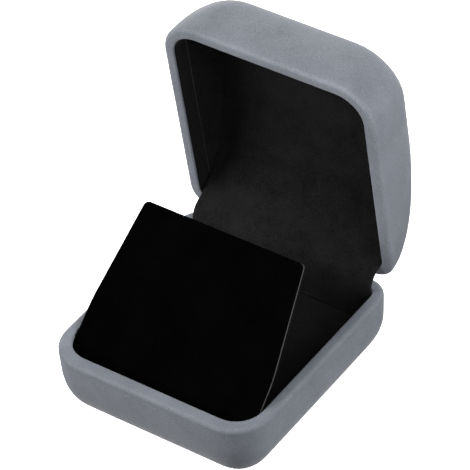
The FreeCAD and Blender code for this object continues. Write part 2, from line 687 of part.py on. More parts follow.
STEPS_PER_POINT = 6  # places at which the two faces of a bent sheet are found, for each point given


def bent_sheet(name, points, thickness, width):
    """A sheet of even thickness whose middle runs smoothly through points in the YZ plane."""
    middle = Part.BSplineCurve()
    middle.interpolate(points)
    steps = STEPS_PER_POINT * len(points)
    first, last = middle.FirstParameter, middle.LastParameter
    sides = ([], [])
    for index in range(steps + 1):
        at = first + (last - first) * index / steps
        normal = middle.tangent(at)[0].cross(Vector(1, 0, 0))
        for side, way in zip(sides, (0.5, -0.5)):
            side.append(middle.value(at) + normal * (way * thickness))
    edges = []
    for side in sides:
        curve = Part.BSplineCurve()
        curve.interpolate(side)
        edges.append(curve.toShape())
    ends = [Part.LineSegment(sides[0][place], sides[1][place]).toShape() for place in (0, -1)]
    face = Part.Face(Part.Wire(Part.__sortEdges__(edges + ends)))
    face.translate(Vector(-width / 2, 0, 0))
    bent = doc.addObject("Part::Feature", name + "_bent")
    bent.Shape = face.extrude(Vector(width, 0, 0))
    return bent


def lid_inner_point(turn, offset):
    """A point on the sloping back of the lid's inside, at an offset from its outer surface."""
    rise = size("lid_height") - size("rim_gap") / 2 - size("lid_wall") - offset
    run = size("lid_back_curve") - offset
    y = -size("hinge_outset") - size("lid_back_setback") - offset - run * (1 - math.cos(math.radians(turn)))
    z = size("rim_gap") / 2 + size("lid_wall") + rise * math.sin(math.radians(turn))
    return lid_point(y, z)


BEND_POINTS = 3
STRIP_TURNS = (18, 27, 36, 45)
SPRING_BASE_SHARES = (1, 0.7, 0.4)
SPRING_LID_SHARES = (0.1, 0.35, 0.55)

bend = size("strip_bend")
strip_offset = number(LINER_INSIDE) + size("strip_seat") + size("strip_thickness") / 2
strip_points = [base_point(-bend, -size("strip_reach")), base_point(-bend, -size("strip_reach") / 2),
                base_point(-bend, 0)]
strip_points += bend_points(bend, BEND_POINTS)
strip_points += [lid_point(-bend, 0)]
strip_points += [lid_inner_point(turn, strip_offset) for turn in STRIP_TURNS]
strip_sheet = bent_sheet("strip", strip_points, size("strip_thickness"), size("strip_width"))
base_room = shell_form("base", "strip_room", "(%s + %s)" % (RIM_WIDTH, cell("strip_clearance")), "0")
base_wall = cut("strip_base_wall", base_form, base_room)
lid_room = shell_form("lid", "strip_room", "(%s + %s)" % (LINER_INSIDE, cell("strip_clearance")), "0")
lid_wall = to_lid(cut("strip_lid_wall", lid_form, lid_room))
node("hinge_lining_strip", cut("strip_trimmed", strip_sheet, base_wall, lid_wall))

bend = size("spring_bend")
spring_stand = size("spring_clearance") + size("spring_thickness") / 2
base_face = number(HINGE_SEAT) + size("leaf_thickness") + spring_stand
tilt = math.radians(size("lid_leaf_tilt"))
lid_face = number(LID_SEAT) + size("leaf_thickness") / math.cos(tilt) + spring_stand
plate_foot = number(KNUCKLE_RADIUS) - size("leaf_thickness")
plate_end = size("lid_leaf_reach") * math.cos(tilt)
spring_points = [base_point(-base_face, -size("leaf_reach") * share) for share in SPRING_BASE_SHARES]
spring_points += [base_point(-bend, 0)]
spring_points += bend_points(bend, BEND_POINTS)
spring_points += [lid_point(-lid_face - plate_end * share * math.tan(tilt), plate_foot + plate_end * share)
                  for share in SPRING_LID_SHARES]
node("snap_spring", bent_sheet("spring", spring_points, size("spring_thickness"), size("spring_width")))

doc.recompute()

for thing in doc.Objects:
    if "Invalid" in thing.State or "Error" in thing.State:
        raise RuntimeError("%s did not recompute: %s" % (thing.Label, thing.State))
for name, thing in nodes.items():
    if thing.Shape.isNull() or not thing.Shape.isValid() or not thing.Shape.Solids:
        raise RuntimeError("%s has no valid solid" % name)

os.makedirs("parts", exist_ok=True)
for name, thing in sorted(nodes.items()):
    thing.Shape.exportStep("parts/%s.step" % name)
    print("%-22s %d solid(s) %9.1f mm3" % (name, len(thing.Shape.Solids), thing.Shape.Volume))
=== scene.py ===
# %% [markdown]
# # A velvet presentation box
#
# This lesson dresses a small hinged box for a pendant. The solids of the box come packed from its
# drawings, and they give every hinge and every size. Here the soft covers are modelled over them, and
# each surface gets the finish of the real one: short grey velvet outside, black flock inside.

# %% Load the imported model
import math

import bmesh
import bpy
from mathutils import Matrix, Vector


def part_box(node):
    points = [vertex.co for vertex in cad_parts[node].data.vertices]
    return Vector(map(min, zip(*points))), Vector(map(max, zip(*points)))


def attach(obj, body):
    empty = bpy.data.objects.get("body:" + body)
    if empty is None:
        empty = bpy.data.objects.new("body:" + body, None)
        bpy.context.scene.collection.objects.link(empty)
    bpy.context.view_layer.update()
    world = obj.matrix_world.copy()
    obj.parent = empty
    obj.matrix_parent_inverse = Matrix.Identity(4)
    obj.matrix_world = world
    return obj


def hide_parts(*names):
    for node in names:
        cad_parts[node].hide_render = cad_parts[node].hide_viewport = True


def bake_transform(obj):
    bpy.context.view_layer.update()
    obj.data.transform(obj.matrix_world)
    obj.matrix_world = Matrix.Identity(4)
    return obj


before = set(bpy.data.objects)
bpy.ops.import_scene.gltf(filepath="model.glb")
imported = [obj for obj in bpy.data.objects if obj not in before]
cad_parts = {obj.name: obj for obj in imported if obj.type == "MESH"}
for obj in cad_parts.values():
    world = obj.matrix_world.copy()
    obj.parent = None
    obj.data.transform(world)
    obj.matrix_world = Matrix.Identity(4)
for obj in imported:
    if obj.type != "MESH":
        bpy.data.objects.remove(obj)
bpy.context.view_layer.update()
MM = 0.001
print("nodes in the frame:", len(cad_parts))


# %% [markdown]
# ## The camera
#
# The picture was taken from above and a little to the right, with a long lens, so that the edges of the
# box hardly converge. The camera is placed by its direction and distance from a point in the box,
# because these are what one reads off a picture. A small roll levels it with the picture.

# %% Camera
AZIMUTH = math.radians(37.42)
ELEVATION = math.radians(40.97)
ROLL = math.radians(-4.4)
DISTANCE = 916.16 * MM
LOOK_AT = Vector((7.05, 1.43, 56.1)) * MM
FOCAL_PIXELS = 3336.11
PICTURE_SIDE = 470
SENSOR = 36.0

away = Vector((math.sin(AZIMUTH) * math.cos(ELEVATION), -math.cos(AZIMUTH) * math.cos(ELEVATION),
               math.sin(ELEVATION)))
side = Vector((0, 0, 1)).cross(away).normalized()
upward = away.cross(side)
rolled_side = side * math.cos(ROLL) + upward * math.sin(ROLL)
rolled_up = upward * math.cos(ROLL) - side * math.sin(ROLL)
camera_data = bpy.data.cameras.new("camera")
camera_data.lens = FOCAL_PIXELS / PICTURE_SIDE * SENSOR
camera_data.sensor_width = SENSOR
camera_data.clip_start = 0.01
camera_data.clip_end = 20
camera = bpy.data.objects.new("camera", camera_data)
bpy.context.scene.collection.objects.link(camera)
turned = Matrix((rolled_side, rolled_up, away)).transposed().to_4x4()
camera.matrix_world = Matrix.Translation(LOOK_AT + away * DISTANCE) @ turned
bpy.context.scene.camera = camera
print("lens %.1f mm" % camera_data.lens)


# %% [markdown]
# ## The sizes of the two halves
#
# The box is two bowls joined by a hinge. All of these sizes are in millimetres, and they are those of
# the drawings. The base is described as it stands. The lid is described as it lies when shut, measured
# from the hinge pin, and is then turned open about that pin.

# %% Sizes of both halves
BOX_WIDTH = 70.0
BOX_DEPTH = 73.8
CORNERS = (11.7, 7.0)
LEAST_CORNER = 3.0
NAP = 0.6
SHELL_WALL = 2.2
LIP = 0.66
LINER_CARD = 0.5
INNER_WALL = NAP + SHELL_WALL
RIM_WIDTH = INNER_WALL + LIP
TURN_IN = 1.2
INNER_CURVE = 3.0
HINGE_Y = BOX_DEPTH / 2 + 0.1
HINGE_Z = 22.8
OPEN_ANGLE = 83.5

# The rim numbers paint the velvet lighter over the rim: partly wear of the pile, partly painted light. The
# lid's rim is painted lighter than the base's, and the outer edge carries a painted highlight.
BASE = dict(up=-1, rim=22.65, front=-36.9, back=36.9, height=22.15, wall=7.4, draft=0.207,
            side_curve=11.5, back_curve=18.0, corner_ends=(3.0, 3.0), rim_wear_and_light=0.0, edge_wear_and_highlight=0.1,
            front_lap=0.9)
LID = dict(up=1, rim=0.15, front=-73.9, back=-0.9, height=20.15, wall=0.8, draft=0.0,
           side_curve=4.1, back_curve=45.3, corner_ends=(14.5, 7.8), rim_wear_and_light=0.3, edge_wear_and_highlight=0.35,
           front_lap=0.0)

TO_METRES = Matrix.Scale(MM, 4)
OPEN_LID = (TO_METRES @ Matrix.Translation((0, HINGE_Y, HINGE_Z))
            @ Matrix.Rotation(math.radians(-OPEN_ANGLE), 4, "X"))
HALVES = {"base": (BASE, TO_METRES, HINGE_Z), "lid": (LID, OPEN_LID, 0.0)}
print("closed box: %.1f x %.1f mm" % (BOX_WIDTH, BOX_DEPTH))


# %% [markdown]
# ## Levels of a bowl
#
# In plan each bowl is a rounded rectangle. Its walls run straight from the rim, and then curve in like a
# quarter of an ellipse. One level is told by a half width, a front, a back and the radii of its
# corners. An offset moves the level in from the outer face, so the same two helpers serve the velvet,
# the shell and the lining.

# %% Level helpers


def plan(half, offset, share, cosine):
    """Half width, front, back and corner radii of a bowl, moved in by an offset."""
    side_curve = max(half["side_curve"] - offset, INNER_CURVE)
    back_curve = max(half["back_curve"] - offset, INNER_CURVE)
    drafted = half["draft"] * share
    shrink = drafted + side_curve * (1 - cosine)
    half_width = BOX_WIDTH / 2 - offset - shrink
    front = half["front"] + offset + shrink
    back = half["back"] - offset - drafted - back_curve * (1 - cosine)
    radii = [max(end + (corner - end) * cosine ** 1.5 - offset, LEAST_CORNER)
             for corner, end in zip(CORNERS, half["corner_ends"])]
    return half_width, front, back, radii


def level(half, offset, depth):
    """The plan of a bowl at a depth from its rim, and the height of that level."""
    wall = half["wall"]
    rise = half["height"] - wall - offset
    sine = min(max((depth - wall) / rise, 0), 1)
    share = min(depth / wall, 1)
    return plan(half, offset, share, math.sqrt(1 - sine * sine)), half["rim"] + half["up"] * depth


print("base at its rim: %.2f mm to the side" % level(BASE, 0, 0)[0][0])


# %% [markdown]
# ## One ring
#
# A bowl with changing corners is a stack of rings. Each ring starts as a face with four corners. The
# bevel operator rounds the corners, and a cut of the long edges gives the sides some points of their own.
# Every ring then has the same number of points. Each point carries a number that says how much lighter
# the pile is painted there: partly wear of the pile, partly painted light.

# %% Ring helper
CORNER_STEPS = 8
SIDE_CUTS = 7


def ring_edges(target, measures, wear_and_light):
    """Add one rounded rectangle to a bmesh, and return its edges."""
    (half_width, front, back, radii), height = measures
    ring = bmesh.new()
    corners = [ring.verts.new((x, y, height)) for x, y in
               ((-half_width, front), (half_width, front), (half_width, back), (-half_width, back))]
    ring.faces.new(corners)
    for pair, radius in ((corners[:2], radii[0]), (corners[2:], radii[1])):
        bmesh.ops.bevel(ring, geom=pair, offset=radius, offset_type="OFFSET", affect="VERTICES",
                        segments=CORNER_STEPS, profile=0.5, material=-1)
    longest = sorted(ring.edges, key=lambda edge: edge.calc_length())[-4:]
    bmesh.ops.subdivide_edges(ring, edges=longest, cuts=SIDE_CUTS)
    bmesh.ops.delete(ring, geom=ring.faces[:], context="FACES_ONLY")
    mark = ring.verts.layers.float.new("wear_and_light")
    for vert in ring.verts:
        vert[mark] = wear_and_light
    flat = bpy.data.meshes.new("ring")
    ring.to_mesh(flat)
    ring.free()
    before = len(target.edges)
    target.from_mesh(flat)
    bpy.data.meshes.remove(flat)
    target.edges.ensure_lookup_table()
    return target.edges[before:]


print("points in a ring:", 4 * (CORNER_STEPS + 1 + SIDE_CUTS))


# %% [markdown]
# ## Rings joined into a bowl
#
# As all rings match, bridge_loops can join neighbours into even faces, and one face closes the last of
# them. A subdivided cube would be quicker to make, but its corners couldn't follow these radii. The
# faces are then turned to look outwards. The face furthest from the middle tells whether they do.

# %% Bowl helpers


def bowl(rings, closed_end=True):
    """A skin through a list of (measures, worn), with a face over the last ring."""
    skin = bmesh.new()
    skin.verts.layers.float.new("wear_and_light")
    loops = [ring_edges(skin, measures, wear_and_light) for measures, wear_and_light in rings]
    for first, second in zip(loops, loops[1:]):
        bmesh.ops.bridge_loops(skin, edges=first + second)
    if closed_end:
        bmesh.ops.contextual_create(skin, geom=loops[-1])
    return skin


def middle_of(half):
    """The middle of a half, in its own place."""
    return Vector((0, (half["front"] + half["back"]) / 2, half["rim"] + half["up"] * half["height"] / 2))


def outward(skin, centre):
    """Turn all faces to look away from the middle of the form."""
    bmesh.ops.recalc_face_normals(skin, faces=skin.faces[:])
    widest = max(skin.faces, key=lambda face: (face.calc_center_median() - centre).length)
    if widest.normal.dot(widest.calc_center_median() - centre) < 0:
        bmesh.ops.reverse_faces(skin, faces=skin.faces[:])


print("middle of the base:", tuple(round(value, 2) for value in middle_of(BASE)))


# %% [markdown]
# ## From a form to an object
#
# A finished form is moved to its place and brought to metres inside its mesh, so that its object can
# stay at the origin. A skin gets its thickness from the solidify modifier, always on its inner side,
# because the outer sides are the ones that were measured.

# %% Object helpers


def to_object(skin, name, placing):
    """Turn a finished bmesh into an object in metres, with its place in its mesh."""
    skin.transform(placing)
    mesh = bpy.data.meshes.new(name)
    skin.to_mesh(mesh)
    skin.free()
    mesh.shade_smooth()
    made = bpy.data.objects.new(name, mesh)
    bpy.context.scene.collection.objects.link(made)
    print("%-20s %6d faces" % (name, len(mesh.polygons)))
    return made


def thicken(made, thickness, rim_material=0):
    """Give a skin its thickness on its inner side."""
    wall = made.modifiers.new("wall", "SOLIDIFY")
    wall.thickness = thickness * MM
    wall.offset = -1
    wall.material_offset_rim = rim_material
    return made


print("millimetres to a metre:", round(1 / MM))


# %% [markdown]
# ## Noise for the finishes
#
# Every finish is made of the same few parts: a colour that drifts a little over the piece, a fine grain
# that is felt as bump, and a sheen where the surface is hairy. Pictures would also work, but noise has no
# edge and no seam, and it can be as fine as the pile of velvet. Noise reads the object's own
# coordinates, in metres, so its scale is the number of grains to the metre.

# %% Noise helpers
SLOW_SHARE = 0.4
SLOW_ROUGHNESS = 0.65
NOISE_RANGE = (0.32, 0.68)


def noise(made, vector, scale, detail):
    """A noise texture in a material."""
    texture = made.node_tree.nodes.new("ShaderNodeTexNoise")
    texture.inputs["Scale"].default_value = scale
    texture.inputs["Detail"].default_value = detail
    made.node_tree.links.new(vector, texture.inputs["Vector"])
    return texture


def grain_pattern(made, grain, drift, stretch):
    """The fine noise alone, and a share from 0 to 1 that follows fine and slow noise together."""
    nodes, links = made.node_tree.nodes, made.node_tree.links
    place = nodes.new("ShaderNodeTexCoord")
    scaled = nodes.new("ShaderNodeMapping")
    scaled.inputs["Scale"].default_value = stretch
    links.new(place.outputs["Object"], scaled.inputs["Vector"])
    fine = noise(made, scaled.outputs["Vector"], grain, 3)
    slow = noise(made, scaled.outputs["Vector"], drift, 4)
    slow.inputs["Roughness"].default_value = SLOW_ROUGHNESS
    both = nodes.new("ShaderNodeMix")
    both.inputs["Factor"].default_value = SLOW_SHARE
    links.new(fine.outputs["Fac"], both.inputs["A"])
    links.new(slow.outputs["Fac"], both.inputs["B"])
    spread = nodes.new("ShaderNodeMapRange")
    spread.inputs["From Min"].default_value = NOISE_RANGE[0]
    spread.inputs["From Max"].default_value = NOISE_RANGE[1]
    links.new(both.outputs["Result"], spread.inputs["Value"])
    return fine.outputs["Fac"], spread.outputs["Result"]


print("share of the slow noise:", SLOW_SHARE)


# %% [markdown]
# ## A helper for all finishes
#
# The share from the noise mixes a dark and a light tone. Where a piece carries the number for pile wear
# and painted light, a third, lighter tone is mixed in, and the noise breaks up its edge. What is the same
# all over goes straight on the shader's own sockets.

# %% Finish helper


def mixed(made, factor, first, second):
    """A colour between two others. The first is a fixed colour or the output of another mix."""
    mix = made.node_tree.nodes.new("ShaderNodeMix")
    mix.data_type = "RGBA"
    made.node_tree.links.new(factor, mix.inputs["Factor"])
    if isinstance(first, tuple):
        mix.inputs["A"].default_value = (*first, 1)
    else:
        made.node_tree.links.new(first, mix.inputs["A"])
    mix.inputs["B"].default_value = (*second, 1)
    return mix.outputs["Result"]


def wear_and_light_share(made, share):
    """The number for pile wear and painted light, broken up by the noise."""
    mark = made.node_tree.nodes.new("ShaderNodeAttribute")
    mark.attribute_name = "wear_and_light"
    broken = made.node_tree.nodes.new("ShaderNodeMath")
    broken.operation = "MULTIPLY"
    made.node_tree.links.new(mark.outputs["Fac"], broken.inputs[0])
    made.node_tree.links.new(share, broken.inputs[1])
    return broken.outputs["Value"]


def finish(name, light, dark, grain, drift, bump, roughness, sheen=0.0, sheen_roughness=0.5, metallic=0.0,
           wear_and_light=None, stretch=(1, 1, 1), specular=0.3):
    """A material: two colours mixed by slow and fine noise, with bump from the fine noise."""
    made = bpy.data.materials.new(name)
    made.use_nodes = True
    shader = made.node_tree.nodes["Principled BSDF"]
    shader.inputs["Roughness"].default_value = roughness
    shader.inputs["Metallic"].default_value = metallic
    shader.inputs["Specular IOR Level"].default_value = specular
    shader.inputs["Sheen Weight"].default_value = sheen
    shader.inputs["Sheen Roughness"].default_value = sheen_roughness
    shader.inputs["Sheen Tint"].default_value = (1, 1, 1, 1)
    fine, share = grain_pattern(made, grain, drift, stretch)
    colour = mixed(made, share, dark, light)
    if wear_and_light is not None:
        colour = mixed(made, wear_and_light_share(made, share), colour, wear_and_light)
    made.node_tree.links.new(colour, shader.inputs["Base Color"])
    relief = made.node_tree.nodes.new("ShaderNodeBump")
    relief.inputs["Strength"].default_value = 1.0
    relief.inputs["Distance"].default_value = bump
    made.node_tree.links.new(fine, relief.inputs["Height"])
    made.node_tree.links.new(relief.outputs["Normal"], shader.inputs["Normal"])
    return made


print("materials so far:", len(bpy.data.materials))


# %% [markdown]
# ## The finishes of this box
#
# Grey velvet covers the outside. Three blacks lie inside: the flock of the bands and the base, the felt
# of the lid's lining and the strip, and the deep velvet of the card, which is nearly without light. The
# rest are card, paper, moulded plastic and steel, and they show only at edges and from behind.

# %% Finishes
# The third colour is the lighter tone for pile wear and painted light on the rims, with a painted highlight
# along their outer edges.
grey_velvet = finish("grey_velvet", light=(0.176, 0.189, 0.213), dark=(0.1, 0.109, 0.125), grain=3000,
                     drift=70, bump=0.00012, roughness=0.9, sheen=0.26, sheen_roughness=0.4,
                     wear_and_light=(0.24, 0.256, 0.286), specular=0.1)
black_flock = finish("black_flock", light=(0.0085, 0.0085, 0.0088), dark=(0.0024, 0.0024, 0.0024),
                     grain=2600, drift=120, bump=0.00015, roughness=0.95, sheen=0.026, specular=0.05)
black_velvet = finish("black_velvet", light=(0.0012, 0.0012, 0.0013), dark=(0.0002, 0.0002, 0.0002),
                      grain=3400, drift=90, bump=0.00018, roughness=1.0, sheen=0.0025,
                      sheen_roughness=0.35, specular=0.005)
# The third colour of the felt is painted light, which makes the strip lighter near its bend.
lining_felt = finish("lining_felt", light=(0.009, 0.009, 0.0093), dark=(0.0005, 0.0005, 0.0005),
                     grain=2000, drift=160, bump=0.0002, roughness=0.95, sheen=0.024, specular=0.05,
                     wear_and_light=(0.012, 0.012, 0.0123))
cut_card = finish("cut_card", light=(0.02, 0.02, 0.0205), dark=(0.012, 0.012, 0.012), grain=2400,
                  drift=300, bump=0.0001, roughness=0.9)
grey_board = finish("grey_board", light=(0.045, 0.0445, 0.044), dark=(0.024, 0.0235, 0.023), grain=2800,
                    drift=400, bump=0.00012, roughness=0.9, stretch=(1, 1, 0.3))
black_paper = finish("black_paper", light=(0.02, 0.02, 0.021), dark=(0.009, 0.009, 0.0095), grain=3000,
                     drift=250, bump=0.00005, roughness=0.8)
moulding = finish("moulding", light=(0.034, 0.034, 0.036), dark=(0.022, 0.022, 0.023), grain=1500,
                  drift=60, bump=0.00004, roughness=0.55)
steel = finish("steel", light=(0.4, 0.4, 0.39), dark=(0.27, 0.27, 0.265), grain=900, drift=60,
               bump=0.00002, roughness=0.42, metallic=1.0, stretch=(0.15, 2, 2), specular=0.5)
print("finishes:", len(bpy.data.materials))


# %% [markdown]
# ## The rim of the velvet
#
# On the real box a sheet of short velvet is drawn over the moulded bowl, wraps the rim and is turned in
# by about a millimetre. Its outer edge is soft and round, and its inner edge is sharper, because it is
# pressed against the lining. The rings start at the turned-in edge and go over the rim. Over the rim
# they carry a higher number, which paints the velvet lighter: partly wear of the pile, partly painted
# light, with a painted highlight along the outer edge.

# %% Rim levels
RIM_ROUND = 1.3
INNER_ROUND = 0.5
RIM_CROWN = 0.04
RIM_STEPS = 5


def rim_level(half, offset, depth):
    """A level of the rim. The base's rim is a little wider in front, where the card's flap is behind it."""
    (half_width, front, back, radii), height = level(half, offset, depth)
    share = max(offset - RIM_ROUND, 0) / (RIM_WIDTH - RIM_ROUND)
    return (half_width, front + half["front_lap"] * share, back, radii), height


def over_the_rim(half):
    """Rings from the turned-in edge, over the rim, to the top of the outer wall."""
    rings = [(rim_level(half, RIM_WIDTH, TURN_IN), 0.0)]
    for step in range(RIM_STEPS + 1):
        turn = math.radians(90 * step / RIM_STEPS)
        offset = RIM_WIDTH - INNER_ROUND * (1 - math.cos(turn))
        depth = RIM_CROWN + INNER_ROUND * (1 - math.sin(turn))
        rings.append((rim_level(half, offset, depth), half["rim_wear_and_light"] * math.sin(turn)))
    for step in range(RIM_STEPS + 1):
        turn = math.radians(90 * step / RIM_STEPS)
        offset = RIM_ROUND * (1 - math.sin(turn))
        depth = RIM_ROUND * (1 - math.cos(turn))
        # The outer edge gets a lighter band: wear of the pile and a painted highlight.
        rings.append((level(half, offset, depth), half["rim_wear_and_light"] + half["edge_wear_and_highlight"] * math.sin(2 * turn)))
    return rings


print("rings over a rim:", len(over_the_rim(BASE)))


# %% [markdown]
# ## The slot for the hinge
#
# The hinge passes through the back wall of both halves. Five planes bound its slot. The skin is cut
# along each of them first, so that the faces inside the slot can be taken out with clean edges. A
# boolean would do it in one step, but it needs a closed solid, and a skin is still open.

# %% Slot helpers
NOTCH_HALF = 18.4
NOTCH_RISE = 1.95
NOTCH_REACH = RIM_WIDTH + 1
NOTCH_SEARCH = 8


def notch(skin, half_width, low, high, behind):
    """Cut a slot for the hinge through the back wall of a skin."""
    for point, normal in (((half_width, 0, 0), (1, 0, 0)), ((-half_width, 0, 0), (-1, 0, 0)),
                          ((0, 0, low), (0, 0, 1)), ((0, 0, high), (0, 0, 1)), ((0, behind, 0), (0, 1, 0))):
        around = [face for face in skin.faces if face.calc_center_median().y > behind - NOTCH_SEARCH]
        geometry = around + list({edge for face in around for edge in face.edges})
        geometry += list({vert for face in around for vert in face.verts})
        bmesh.ops.bisect_plane(skin, geom=geometry, plane_co=point, plane_no=normal)
    inside = []
    for face in skin.faces:
        middle = face.calc_center_median()
        if abs(middle.x) < half_width and low < middle.z < high and middle.y > behind:
            inside.append(face)
    bmesh.ops.delete(skin, geom=inside, context="FACES")


def hinge_slot(skin, half, height, rise, reach):
    """The slot in one half: so high above and below the pin, and so deep from the back."""
    notch(skin, NOTCH_HALF, height - rise, height + rise, half["back"] - reach)


print("slot: %.1f x %.1f mm" % (2 * NOTCH_HALF, 2 * NOTCH_RISE))


# %% [markdown]
# ## The grey velvet covers
#
# The rings go on from the rim down the outside to the middle of the bottom. They lie closer together
# where the wall turns, so that the curve stays smooth. The solidify modifier gives the skin the
# thickness of cloth.

# %% Velvet covers
WALL_LEVELS = 4
CURVE_LEVELS = 14
PANEL_WEAR = 0.12


def curve_depths(half, offset):
    """Depths from the end of a wall to the bottom of its curve, closer where it turns."""
    rise = half["height"] - half["wall"] - offset
    return [half["wall"] + rise * math.sin(math.radians(90 * step / CURVE_LEVELS))
            for step in range(CURVE_LEVELS + 1)]


for name, (half, placing, hinge_height) in HALVES.items():
    rings = over_the_rim(half)
    if half["wall"] > RIM_ROUND:
        for step in range(1, WALL_LEVELS):
            depth = RIM_ROUND + (half["wall"] - RIM_ROUND) * step / WALL_LEVELS
            rings.append((level(half, 0, depth), PANEL_WEAR))
    rings += [(level(half, 0, depth), PANEL_WEAR) for depth in curve_depths(half, 0) if depth > RIM_ROUND]
    skin = bowl(rings)
    outward(skin, middle_of(half))
    hinge_slot(skin, half, hinge_height, NOTCH_RISE, NOTCH_REACH)
    cover = thicken(to_object(skin, name + "_velvet_cover", placing), NAP)
    cover.data.materials.append(grey_velvet)
    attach(cover, name)
    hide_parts(name + "_velvet")


# %% [markdown]
# ## The moulded bowls under the velvet
#
# Under the cloth is a moulded bowl, which shows only in the slot for the hinge. It has the same levels,
# moved in by the thickness of the cloth.

# %% Moulded bowls
BOWL_WALL = 1.2
BOWL_RETURN = 3

for name, (half, placing, hinge_height) in HALVES.items():
    rings = [(level(half, INNER_WALL, BOWL_RETURN + NAP), 0.0),
             (level(half, INNER_WALL, NAP + RIM_CROWN), 0.0), (level(half, NAP, NAP), 0.0)]
    rings += [(level(half, NAP, depth), 0.0) for depth in curve_depths(half, NAP) if depth > NAP]
    skin = bowl(rings)
    outward(skin, middle_of(half))
    hinge_slot(skin, half, hinge_height, NOTCH_RISE, NOTCH_REACH)
    shell = thicken(to_object(skin, name + "_moulded_bowl", placing), BOWL_WALL)
    shell.data.materials.append(moulding)
    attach(shell, name)
    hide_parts(name + "_shell")


# %% [markdown]
# ## Black bands inside the rims
#
# Just inside the rim a black flocked band covers the wall. It comes up nearly to the rim and stands a
# hair proud of the turned-in velvet, so the grey ends in a crisp line. It is a bowl without an end,
# turned inside out so that its thickness goes into the wall.

# %% Bands
LINING_STARTS = {"base": 12.0, "lid": 5.5}
BAND_TOP = 0.5
BAND_PROUD = 0.1
BAND_OVERLAP = 1.5
BAND_STEPS = 6
BAND_CARD = LIP - 0.06
WINDOW_RISE = 9.0
WINDOW_REACH = 15.0


def flocked_band(name):
    """The black band inside the rim of one half."""
    half, placing, hinge_height = HALVES[name]
    start = LINING_STARTS[name]
    rings = [(RIM_WIDTH + BAND_PROUD, BAND_TOP + (start - BAND_TOP) * step / BAND_STEPS)
             for step in range(BAND_STEPS + 1)]
    rings.append((RIM_WIDTH, start + BAND_OVERLAP))
    skin = bowl([(level(half, offset, depth), 0.0) for offset, depth in rings], closed_end=False)
    outward(skin, middle_of(half))
    bmesh.ops.reverse_faces(skin, faces=skin.faces[:])
    hinge_slot(skin, half, hinge_height, WINDOW_RISE, WINDOW_REACH)
    band = thicken(to_object(skin, name + "_flocked_band", placing), BAND_CARD)
    band.data.materials.append(black_flock)
    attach(band, name)
    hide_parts(name + "_rim_band")


print("bands start %.1f mm below the rim" % BAND_TOP)


# %% [markdown]
# ## The lining trays
#
# The lining tray starts lower down and laps over the band. Its cut edge is bare card, which is the thin
# light line on the inside of the lid. The solidify modifier can give the edge its own material, so the
# line needs no extra piece.

# %% Lining trays
TRAY_FINISHES = {"base": (black_flock, black_flock), "lid": (lining_felt, cut_card)}


def lining_tray(name):
    """The lining of one half."""
    half, placing, hinge_height = HALVES[name]
    start = LINING_STARTS[name]
    inside = RIM_WIDTH + LINER_CARD
    depths = [start] + [depth for depth in curve_depths(half, inside) if depth > start]
    skin = bowl([(level(half, inside, depth), 0.0) for depth in depths])
    outward(skin, middle_of(half))
    bmesh.ops.reverse_faces(skin, faces=skin.faces[:])
    hinge_slot(skin, half, hinge_height, WINDOW_RISE, WINDOW_REACH)
    tray = thicken(to_object(skin, name + "_lining_tray", placing), LINER_CARD, rim_material=1)
    for material in TRAY_FINISHES[name]:
        tray.data.materials.append(material)
    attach(tray, name)
    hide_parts(name + "_liner")


for name in HALVES:
    flocked_band(name)
    lining_tray(name)


# %% [markdown]
# ## A sheet from a line
#
# A flexible strip of black lining hides the hinge, and a flat spring lies behind it. Both are sheets
# that bend one way only. Such a sheet is best made as the line of its middle plane, seen from the side,
# which is then extruded sideways in equal steps.

# %% Sheet helpers


def chain(points):
    """A line of joined points."""
    line = bmesh.new()
    verts = [line.verts.new(point) for point in points]
    for first, second in zip(verts, verts[1:]):
        line.edges.new((first, second))
    return line


def widen(line, half_width, rows):
    """Extrude a line sideways, in equal steps, from one side to the other."""
    bmesh.ops.translate(line, verts=line.verts[:], vec=(-half_width, 0, 0))
    edge_row = line.edges[:]
    for _ in range(rows):
        grown = bmesh.ops.extrude_edge_only(line, edges=edge_row)["geom"]
        moved = [item for item in grown if isinstance(item, bmesh.types.BMVert)]
        bmesh.ops.translate(line, verts=moved, vec=(2 * half_width / rows, 0, 0))
        verts = set(moved)
        edge_row = [item for item in grown if isinstance(item, bmesh.types.BMEdge)
                    and item.verts[0] in verts and item.verts[1] in verts]


def lid_place(y, z):
    """A point of the closed lid, in its open place, in millimetres."""
    turn = math.radians(-OPEN_ANGLE)
    return Vector((0, HINGE_Y + y * math.cos(turn) - z * math.sin(turn),
                   HINGE_Z + y * math.sin(turn) + z * math.cos(turn)))


print("hinge pin at y %.1f, z %.1f mm" % (HINGE_Y, HINGE_Z))


# %% [markdown]
# ## Room for the strip
#
# The strip has to follow the insides of both halves. On the real box its side edges ride up on the
# rounded corners of the lid, and in the base its lower corners stay clear of the walls. Two helpers
# measure how much room there is, from the same levels that made the trays.

# %% Room helpers
CORNER_SHARE_LEFT = 0.05


def lid_back(depth, x, offset):
    """How far back the lid's inside reaches, at a depth from its rim and a distance from the middle."""
    (half_width, _, back, radii), _ = level(LID, offset, depth)
    over = max(abs(x) - (half_width - radii[1]), 0)
    over = min(over, radii[1] - CORNER_SHARE_LEFT)
    return back - radii[1] + math.sqrt(radii[1] ** 2 - over ** 2)


def base_side(depth, y, offset):
    """How far sideways the base's inside reaches, at a depth from its rim and a place along the box."""
    (half_width, _, back, radii), _ = level(BASE, offset, depth)
    over = max(y - (back - radii[1]), 0)
    return half_width - radii[1] + math.sqrt(radii[1] ** 2 - over ** 2)


print("room in the base: %.2f mm to the side" % base_side(0, 0, RIM_WIDTH))


# %% [markdown]
# ## The line of the strip
#
# Seen from the side, the strip goes up the back wall of the base, bends round the hinge and lies on the
# sloping back of the lid. Its end is tucked into the lining, so that no step shows. The length of this
# line is the flat length of the sheet.

